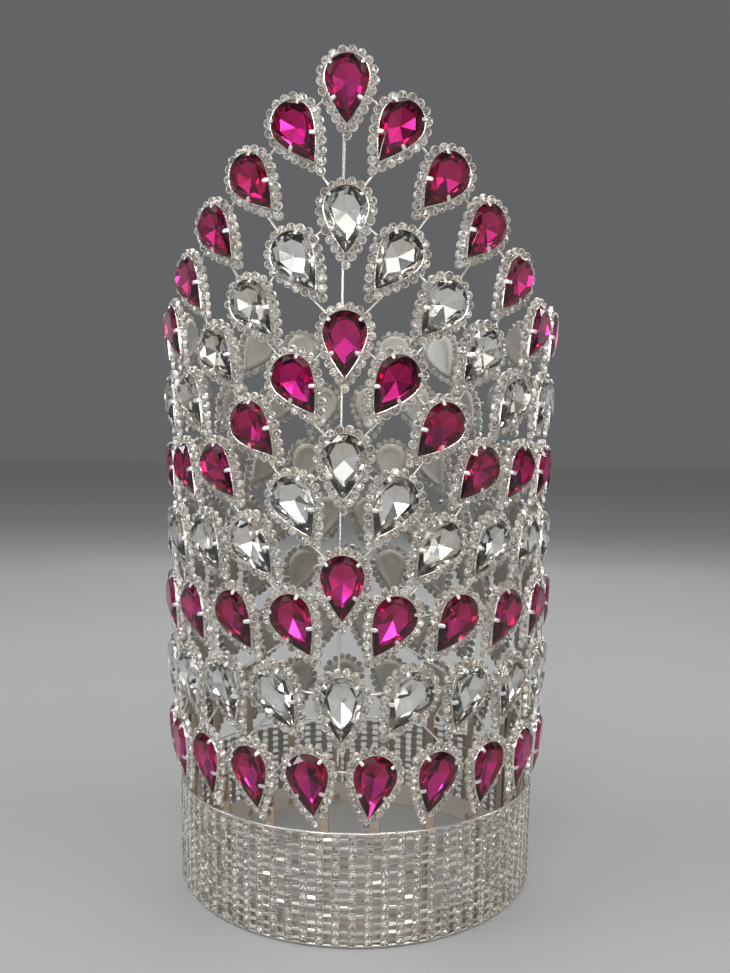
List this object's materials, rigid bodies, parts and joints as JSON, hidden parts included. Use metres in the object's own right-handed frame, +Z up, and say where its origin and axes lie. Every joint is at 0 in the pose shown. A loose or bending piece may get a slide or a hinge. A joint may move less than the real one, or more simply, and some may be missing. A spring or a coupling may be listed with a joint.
{
  "type": "pageant crown",
  "caption": "Tall full-round pageant crown: rows of pear stones in haloed claw settings over a pierced rhinestone base band, open for the head.",
  "frame": {"origin": "centre of the head opening in the plane that the base band stands on", "axes": "+Z up through the crown, front of the crown with its peak towards -Y, +X to the right seen from the front"},
  "size_m": [0.215, 0.2157, 0.4103],
  "materials": {
    "rhinestone_mesh": "silver plated cup chain with clear stones",
    "silver_wire": "bright silver plate",
    "polished_silver": "polished flat strip",
    "set_stones_pink": "silver settings with small clear stones round fuchsia stones",
    "set_stones_clear": "silver settings with small clear stones round clear stones",
    "pink_glass": "faceted fuchsia glass with a foiled back",
    "clear_glass": "faceted clear glass with a foiled back"
  },
  "bodies": {
    "root": {"base_band": "rhinestone_mesh", "inner_frame": "polished_silver", "rim_wire": "silver_wire", "row_1_settings": "set_stones_pink", "row_1_stone_c": "pink_glass", "row_1_stone_l1": "pink_glass", "row_1_stone_l2": "pink_glass", "row_1_stone_r1": "pink_glass", "row_1_stone_r2": "pink_glass", "row_2_settings": "set_stones_clear", "row_2_stone_c": "clear_glass", "row_2_stone_l1": "clear_glass", "row_2_stone_l2": "clear_glass", "row_2_stone_r1": "clear_glass", "row_2_stone_r2": "clear_glass", "row_3_settings": "set_stones_pink", "row_3_stone_c": "pink_glass", "row_3_stone_l1": "pink_glass", "row_3_stone_l2": "pink_glass", "row_3_stone_r1": "pink_glass", "row_3_stone_r2": "pink_glass", "row_4_settings": "set_stones_clear", "row_4_stone_c": "clear_glass", "row_4_stone_l1": "clear_glass", "row_4_stone_l2": "clear_glass", "row_4_stone_r1": "clear_glass", "row_4_stone_r2": "clear_glass", "row_5_settings": "set_stones_pink", "row_5_stone_c": "pink_glass", "row_5_stone_l1": "pink_glass", "row_5_stone_l2": "pink_glass", "row_5_stone_r1": "pink_glass", "row_5_stone_r2": "pink_glass", "row_6_settings": "set_stones_clear", "row_6_stone_c": "clear_glass", "row_6_stone_l1": "clear_glass", "row_6_stone_r1": "clear_glass", "row_7_settings": "set_stones_pink", "row_7_stone_l1": "pink_glass", "row_7_stone_l2": "pink_glass", "row_7_stone_r1": "pink_glass", "row_7_stone_r2": "pink_glass"}
  },
  "joints": []
}
